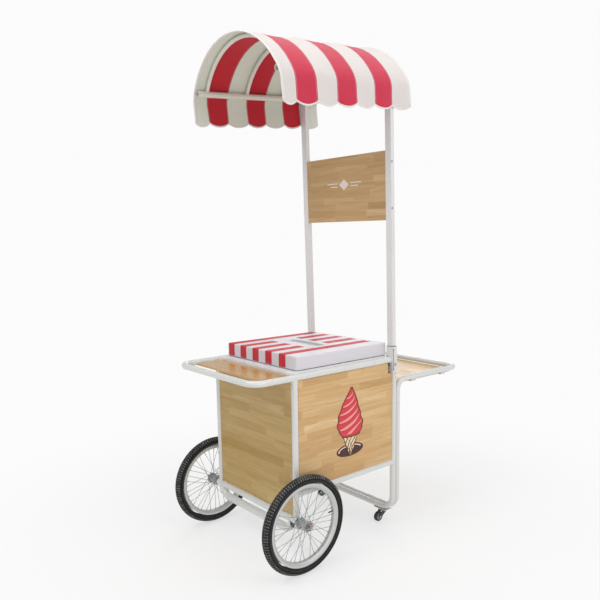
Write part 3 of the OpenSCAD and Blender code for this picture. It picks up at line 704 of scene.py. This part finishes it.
# ---------------------------------------------------------------- the tyres
def build_tyre(side):
    lo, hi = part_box("tyre_" + side)
    c = (lo + hi) / 2
    R = (hi.z - lo.z) / 2
    rc = (hi.y - lo.y) / 2
    Rc = R - rc
    sg = -1 if side == "near" else 1
    NB, per = 108, 9
    N = NB * per
    half = [0, 2.6, 5.2, 6.0, 6.8, 7.6, 11, 15, 19.5, 20.3, 21.1, 21.9, 26, 30, 35.5, 36.3, 37.1, 37.9, 42, 46, 51.5,
            52.3, 53.1, 53.9, 58, 62, 67.5, 68.6, 71, 75, 76.2, 79, 80.2, 90, 100, 112, 124]
    knots = [-k for k in half[:0:-1]] + half
    phis = [math.radians(k) for k in knots]
    rows = [6.0, 20.9, 36.9, 52.9, 68.0]         # shoulder angles of the block rows
    verts, lift = [], []
    for i in range(N):
        for ph in phis:
            d = abs(math.degrees(ph))
            row = sum(d > q for q in rows)
            up = 1.0
            if row < 5:
                if any(abs(d - q) < 0.95 for q in rows[:4]):
                    up = 0.0
                else:
                    lo_a = 0.0 if row == 0 else rows[row - 1]
                    slant = (d - lo_a) / 16.0 * (0.0, 0.62, -0.62, 0.62, -0.3)[row]
                    ph0 = (0.0, 0.15, 0.80, 0.15, 0.55)[row]
                    t = (i / per + ph0 + slant) % 1.0
                    gap = 0.34 if row else 0.24
                    if row == 0:
                        t = (t * 2) % 1.0
                    up = 0.0 if t < gap else 1.0
                r = rc - (1 - up) * 0.0030 + (0.0 if row < 4 else -0.0006)
            else:
                ring = 1.0 if (71 <= d <= 75.1) or (79.9 < d < 80.5) else 0.0
                r = rc - 0.0014 + 0.0008 * ring
                up = 0.55 + 0.25 * ring
            th = 2 * math.pi * i / N
            rad = Rc + r * math.cos(ph)
            verts.append((c.x + rad * math.cos(th), c.y + sg * r * math.sin(ph), c.z + rad * math.sin(th)))
            lift.append(up)
    # bead, tucked into the rim
    m = len(phis)
    faces = []
    for i in range(N):
        j = (i + 1) % N
        for k in range(m - 1):
            faces.append((i * m + k, j * m + k, j * m + k + 1, i * m + k + 1))
        faces.append((i * m + m - 1, j * m + m - 1, j * m, i * m))
    o = mesh_obj("tyre_tread_" + side, verts, faces, [M["tyre"]])
    fix_normals(o)
    # lift: 0 in the grooves, 1 on the block tops; tyre_rubber paints shade into the grooves and highlight onto the
    # tops from it
    at = o.data.attributes.new("lift", "FLOAT", "POINT")
    at.data.foreach_set("value", np.array(lift, np.float32))
    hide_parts("tyre_" + side)
    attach(o, "wheel_" + side)
    # valve stem through the rim, 5 degrees round from +X
    a = math.radians(5)
    d = Vector((math.cos(a), 0, math.sin(a)))
    prof = [(0.190, 0.0039), (0.184, 0.0041), (0.1825, 0.0030), (0.174, 0.0029), (0.1735, 0.0037), (0.1605, 0.0035),
            (0.159, 0.0022)]
    v = tube("valve_" + side, [c + d * q for q, _ in prof], [r for _, r in prof], M["nylon"], sides=14)
    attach(v, "wheel_" + side)
    # red and black ring at the axle end
    lo2, hi2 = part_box("hub_" + side)
    y = lo2.y if side == "near" else hi2.y
    ring = []
    for i in range(48):
        t = 2 * math.pi * i / 48
        ring.append((c.x + 0.0168 * math.cos(t), y + (0.0006 if side == "near" else -0.0006), c.z + 0.0168 * math.sin(t)))
    rg = tube("hub_ring_" + side, ring, 0.0021, RING, closed=True)
    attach(rg, "wheel_" + side)


RING = gloss("ring_red", (132, 22, 28), 0.4, 0.05, marks=False)
for s in ("near", "far"):
    build_tyre(s)


# ----------------------------------------------------- flat printed pictures
def flat(name, outline, body, to3d, h0, h1, mat):
    """A thin printed film: outline in (a, b), lifted from h0 to h1 off the board."""
    n = len(outline)
    verts = [to3d(a, b, h0) for a, b in outline] + [to3d(a, b, h1) for a, b in outline]
    bm = bmesh.new()
    vs = [bm.verts.new(v) for v in verts]
    bm.faces.new(vs[:n])
    bm.faces.new(vs[n:][::-1])
    for i in range(n):
        j = (i + 1) % n
        bm.faces.new((vs[i], vs[j], vs[n + j], vs[n + i]))
    bmesh.ops.triangulate(bm, faces=[f for f in bm.faces if len(f.verts) > 4])
    bmesh.ops.recalc_face_normals(bm, faces=bm.faces)
    me = bpy.data.meshes.new(name)
    bm.to_mesh(me)
    bm.free()
    me.materials.append(mat)
    o = link(bpy.data.objects.new(name, me))
    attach(o, body)
    return o


INK = {k: gloss("ink_" + k, v, 0.42, 0.06, marks=False, coat=0.0) for k, v in {
    "dark": (118, 42, 34), "pink": (240, 150, 142), "red": (208, 54, 66), "deep": (178, 42, 54), "wafer": (236, 212, 172),
    "brown": (70, 34, 28), "pale": (238, 202, 190), "white": (222, 208, 202)}.items()}


def picture():
    lo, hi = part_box("side_panel_near")
    y0 = lo.y
    cx = lo.x + (hi.x - lo.x) * 0.5215
    z0 = lo.z + (hi.z - lo.z) * 0.3925           # foot of the swirl
    H = 0.2435

    def at(a, b, h):
        return (cx + a, y0 - h, z0 + b)

    def W(t):                                   # half width of the swirl at height t
        body = float(np.interp(t, [0, .04, .10, .18, .28, .38, .45, .55, .63, .70, .79, .87, .94, 1.0],
                               [.056, .068, .078, .083, .0815, .0735, .070, .0605, .0505, .0455, .034, .0220, .0105,
                                .0015]))
        return body * (1.03 + 0.050 * math.sin(2 * math.pi * 4.6 * t + 1.2) * (1 - 0.7 * t))

    def lean(t):
        return 0.0060 * math.sin(5.4 * t + 2.2) + 0.004 * t ** 3

    def pt(s, t, grow=0.0):
        return (s * (W(t) + grow) + lean(t), t * H)

    def foot_line(grow):                        # the swirl's lower edge bulges over the cone
        out = []
        for i in range(41):
            s = 1 - 2 * i / 40
            w = W(0.0) + grow
            out.append((s * w + lean(0), -0.009 * (1 - s * s) ** 0.7 - 0.0028 * math.sin(math.pi * 3 * s) ** 2 - grow))
        return out

    def whole(grow):
        right = [pt(1, t, grow) for t in np.linspace(0, 1, 60)]
        left = [pt(-1, t, grow) for t in np.linspace(1, 0, 60)]
        right[-1] = (right[-1][0], right[-1][1] + grow)
        left[0] = (left[0][0], left[0][1] + grow)
        return foot_line(grow)[::-1][1:-1] + right + left
    # round shadow with a pale rim, wafer cone, swirl
    db = -0.0855

    def oval(a, b, t):
        return (a * math.cos(t) - 0.003, db + b * math.sin(t))
    flat("picture_disc", [oval(0.0965, 0.0345, t) for t in np.linspace(0, 2 * math.pi, 72, False)],
         "frame", at, 0.00005, 0.0002, INK["brown"])
    for k, (t0, t1) in enumerate(((0.22, 1.30), (1.95, 3.35))):
        gl = [oval(0.084, 0.0268, t) for t in np.linspace(t0, t1, 26)]
        gl += [oval(0.0745, 0.0205, t) for t in np.linspace(t1, t0, 26)]
        flat("picture_disc_rim_%d" % k, gl, "frame", at, 0.0002, 0.0003, INK["pale"])

    w0, w1, b0, b1 = 0.0530, 0.0125, 0.004, -0.1120

    def cone(g):
        pts = [(-w0 - g, b0), (-w1 - g, b1 + 0.010)]
        pts += [((w1 + g) * math.cos(t), b1 + 0.010 + (0.010 + g) * math.sin(t)) for t in
                np.linspace(math.pi, 2 * math.pi, 14)[1:-1]]
        pts += [(w1 + g, b1 + 0.010), (w0 + g, b0)]
        return pts
    flat("picture_cone_line", cone(0.0048), "frame", at, 0.0002, 0.00035, INK["brown"])
    flat("picture_cone", cone(0.0), "frame", at, 0.00035, 0.0005, INK["wafer"])
    k = 0
    for sl, gap, wid, ph in ((-1, 0.62, 0.0034, -0.10), (1, 1.10, 0.0012, 0.25)):
        for i in range(-3, 5):
            seg = []
            for t in np.linspace(0, 1, 25):     # t from the top of the cone down
                s = sl * (i * gap - ph - 0.6 + t * 1.9)
                if abs(s) < 0.97:
                    seg.append((s * (w0 + (w1 - w0) * t), b0 - 0.004 + (b1 + 0.006 - b0) * t))
            if len(seg) > 3:
                a = [(x - wid, y) for x, y in seg]
                b = [(x + wid, y) for x, y in seg][::-1]
                flat("picture_wafer_%d" % k, a + b, "frame", at, 0.0005, 0.0006, INK["brown"])
                k += 1
    flat("picture_swirl_line", whole(0.0078), "frame", at, 0.0006, 0.00075, INK["dark"])
    flat("picture_swirl", whole(0.0), "frame", at, 0.00075, 0.0009, INK["red"])

    def band(name, c, rise, bow, thick, s0, s1, ink, h):
        top, bot = [], []
        for s in np.linspace(s0, s1, 34):
            q = (s - s0) / (s1 - s0)
            mid = c + rise * s - bow * (1 - s * s)
            w = thick * math.sin(math.pi * min(1.0, q * 0.92 + 0.06)) ** 0.7
            top.append(pt(s, min(max(mid + w / 2, 0.006), 0.985)))
            bot.append(pt(s, min(max(mid - w / 2, 0.003), 0.980)))
        flat(name, bot + top[::-1], "frame", at, h, h + 0.00012, ink)
    for i in range(6):                          # folds of the swirl: a light ridge with a dark edge under it
        c = 0.115 + 0.155 * i
        k = 1 - 0.075 * i
        band("picture_fold_%d" % i, c - 0.036 * k, 0.150 * k, 0.085 * k, 0.040 * k, -0.97, 0.97, INK["deep"], 0.0009)
        band("picture_ridge_%d" % i, c, 0.150 * k, 0.080 * k, 0.074 * k, -0.95, 0.96, INK["pink"], 0.00103)


picture()


def ornament():
    """A plain lozenge between two bars, in place of the printed mark."""
    v = co("sign_board")
    zt, zb = v[:, 2].max(), v[:, 2].min()
    xt = v[v[:, 2] > zt - 0.01][:, 0].min()
    xb = v[v[:, 2] < zb + 0.01][:, 0].min()
    zc = zb + (zt - zb) * 0.57
    sl = (xt - xb) / (zt - zb)

    def at(a, b, h):
        z = zc + b
        return (xb + sl * (z - zb) - h, a, z)
    dia = [(0.0, 0.030), (0.040, 0.0), (0.0, -0.030), (-0.040, 0.0)]
    flat("sign_lozenge", dia, "roof", at, 0.00005, 0.0003, INK["white"])
    for s in (-1, 1):
        for k, (b, l) in enumerate(((0.0085, 0.085), (-0.0085, 0.060))):
            bar = [(s * 0.052, b - 0.0028), (s * (0.052 + l), b - 0.0028), (s * (0.052 + l + 0.003), b),
                   (s * (0.052 + l), b + 0.0028), (s * 0.052, b + 0.0028)]
            flat("sign_bar_%d_%d" % (s + 1, k), bar, "roof", at, 0.00005, 0.0003, INK["white"])


ornament()


# ----------------------------------------------------------------- weld beads
def weld(name, c, v_axis, h_axis, side, r=0.016, body="frame"):
    """Bead where a tube along v_axis ends on a tube along h_axis; side says which way the first one leaves."""
    V, Hh = Vector(v_axis), Vector(h_axis)
    T = V.cross(Hh)
    pts, rad = [], []
    N = 72
    for i in range(N):
        t = 2 * math.pi * i / N
        a, b = math.cos(t), math.sin(t)
        lift = r * math.sqrt(max(0.0, 1 - b * b))
        p = Vector(c) + Hh * (a * r) + T * (b * r) + V * side * (lift + 0.0004)
        pts.append(p)
        rad.append(0.0019 + 0.00035 * math.sin(i * 2 * math.pi / 3))
    o = tube(name, pts, rad, M["paint"], closed=True, sides=8)
    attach(o, body)


tr_lo, tr_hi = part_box("top_rail")
rail_z = tr_hi.z - 0.016
sr_lo, sr_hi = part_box("side_rail_near")
side_z = (sr_lo.z + sr_hi.z) / 2
for s, sg in (("near", -1), ("far", 1)):
    lo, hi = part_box("corner_post_" + s)
    cx, cy = (lo.x + hi.x) / 2, (lo.y + hi.y) / 2
    weld("weld_post_top_" + s, (cx, cy, rail_z), (0, 0, 1), (1, 0, 0), -1)
    weld("weld_side_start_" + s, (cx, cy, side_z), (1, 0, 0), (0, 0, 1), 1)
    lh_lo, lh_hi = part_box("leg_hoop")
    weld("weld_side_end_" + s, ((lh_lo.x + lh_hi.x) / 2, cy, side_z), (1, 0, 0), (0, 0, 1), -1)

# ------------------------------------------------------------ floor and light
me = bpy.data.meshes.new("floor")
bm = bmesh.new()
bmesh.ops.create_circle(bm, cap_ends=True, cap_tris=True, segments=96, radius=16)
bm.to_mesh(me)
bm.free()
floor = link(bpy.data.objects.new("floor", me))
floor.location.z = -0.0004
fm = Mat("floor_pale")
x, y, z = fm.xyz()
r = fm.math("SQRT", fm.add(fm.mul(x, x), fm.mul(y, y)))
fm.set(color=fm.mix(fm.noise(3, 3), srgb(240, 240, 240), srgb(236, 236, 237)), rough=0.65, spec=0.25)
em = fm.n("ShaderNodeEmission")
em.inputs[0].default_value = (0.97, 0.97, 0.97, 1)
em.inputs[1].default_value = 1.0
mx = fm.n("ShaderNodeMixShader")
fm.put(mx.inputs[0], fm.step(r, 0.4, 2.6, 0.58, 1.0))
fm.t.links.new(fm.b.outputs[0], mx.inputs[1])
fm.t.links.new(em.outputs[0], mx.inputs[2])
fm.t.links.new(mx.outputs[0], fm.out.inputs[0])
me.materials.append(fm.m)

world = bpy.data.worlds.new("studio")
scene.world = world
world.use_nodes = True
wt = world.node_tree
wt.nodes.clear()
wo = wt.nodes.new("ShaderNodeOutputWorld")
bg = wt.nodes.new("ShaderNodeBackground")
bg2 = wt.nodes.new("ShaderNodeBackground")
lp = wt.nodes.new("ShaderNodeLightPath")
wm = wt.nodes.new("ShaderNodeMixShader")
bg.inputs[0].default_value = (0.98, 0.985, 1.0, 1)
bg.inputs[1].default_value = 0.52
bg2.inputs[0].default_value = (0.97, 0.97, 0.97, 1)
bg2.inputs[1].default_value = 1.0
wt.links.new(lp.outputs["Is Camera Ray"], wm.inputs[0])
wt.links.new(bg.outputs[0], wm.inputs[1])
wt.links.new(bg2.outputs[0], wm.inputs[2])
wt.links.new(wm.outputs[0], wo.inputs[0])


def area(name, pos, target, size, power, color=(1, 1, 1)):
    l = bpy.data.lights.new(name, "AREA")
    l.shape = "RECTANGLE"
    l.size, l.size_y = size
    l.energy = power
    l.color = color
    o = link(bpy.data.objects.new(name, l))
    o.location = pos
    d = Vector(target) - Vector(pos)
    o.rotation_euler = d.to_track_quat("-Z", "Y").to_euler()
    return o


area("key", (0.6, -4.2, 4.4), (0, 0, 1.1), (3.2, 3.2), 84, (1.0, 0.99, 0.975))
area("top", (-0.3, -0.3, 5.4), (0, 0, 1.0), (3.5, 3.5), 52)
area("left", (-3.2, 0.2, 4.4), (0, 0, 0.7), (1.5, 1.5), 62, (1.0, 0.99, 0.96))
area("back", (3.6, 3.4, 2.8), (0, 0, 1.2), (2.5, 2.5), 50)
area("front", (-2.0, -4.4, 1.4), (0, 0, 1.3), (2.4, 2.4), 30)

# --------------------------------------------------------------------- camera
cam = bpy.data.cameras.new("camera")
cam.sensor_width = 36.0
cam.lens = 38.007
cam.shift_x = -0.0495
cam.shift_y = 0.0560
cam.clip_end = 100
co_ = link(bpy.data.objects.new("camera", cam))
yaw, pitch, roll = math.radians(48.182), math.radians(8.4896), math.radians(-0.3843)
f = Vector((math.cos(pitch) * math.cos(yaw), math.cos(pitch) * math.sin(yaw), -math.sin(pitch)))
rt = Vector((math.sin(yaw), -math.cos(yaw), 0))
up = rt.cross(f)
r2 = rt * math.cos(roll) + up * math.sin(roll)
u2 = up * math.cos(roll) - rt * math.sin(roll)
mat = Matrix(((r2.x, u2.x, -f.x, -2.3750), (r2.y, u2.y, -f.y, -2.6770), (r2.z, u2.z, -f.z, 1.6301), (0, 0, 0, 1)))
co_.matrix_world = mat
scene.camera = co_

bpy.context.view_layer.update()
